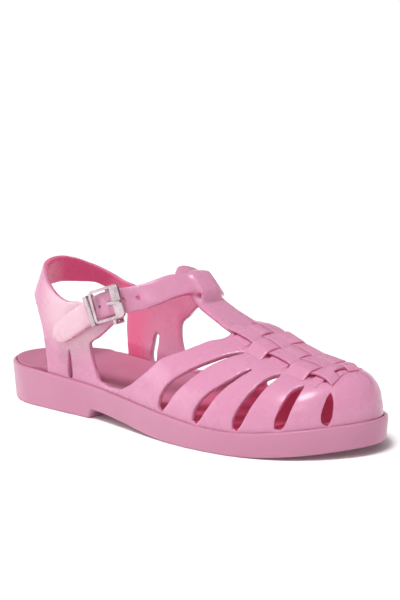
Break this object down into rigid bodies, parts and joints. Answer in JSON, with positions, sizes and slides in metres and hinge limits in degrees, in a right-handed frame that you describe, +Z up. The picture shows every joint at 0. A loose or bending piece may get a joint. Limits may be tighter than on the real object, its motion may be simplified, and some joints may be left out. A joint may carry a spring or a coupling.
{
  "type": "jelly sandal",
  "caption": "Moulded women's jelly fisherman sandal with a woven vamp, curved side slots, T-strap, ankle strap and small metal buckle.",
  "frame": {"origin": "on the floor, under the middle of the sandal's bounding box", "axes": "+X from heel to toe, +Y to the medial side, +Z up"},
  "size_m": [0.258, 0.0898, 0.0804],
  "materials": {
    "outsole": "glossy pink plasticised PVC",
    "footbed": "satin pink plasticised PVC",
    "upper": "glossy, slightly translucent pink plasticised PVC",
    "buckle_frame": "polished nickel plate",
    "buckle_prong": "polished nickel plate",
    "keeper_loop": "polished nickel plate"
  },
  "bodies": {
    "root": {"outsole": "outsole", "footbed": "footbed", "upper": "upper", "buckle_frame": "buckle_frame", "buckle_prong": "buckle_prong", "keeper_loop": "keeper_loop"}
  },
  "joints": []
}
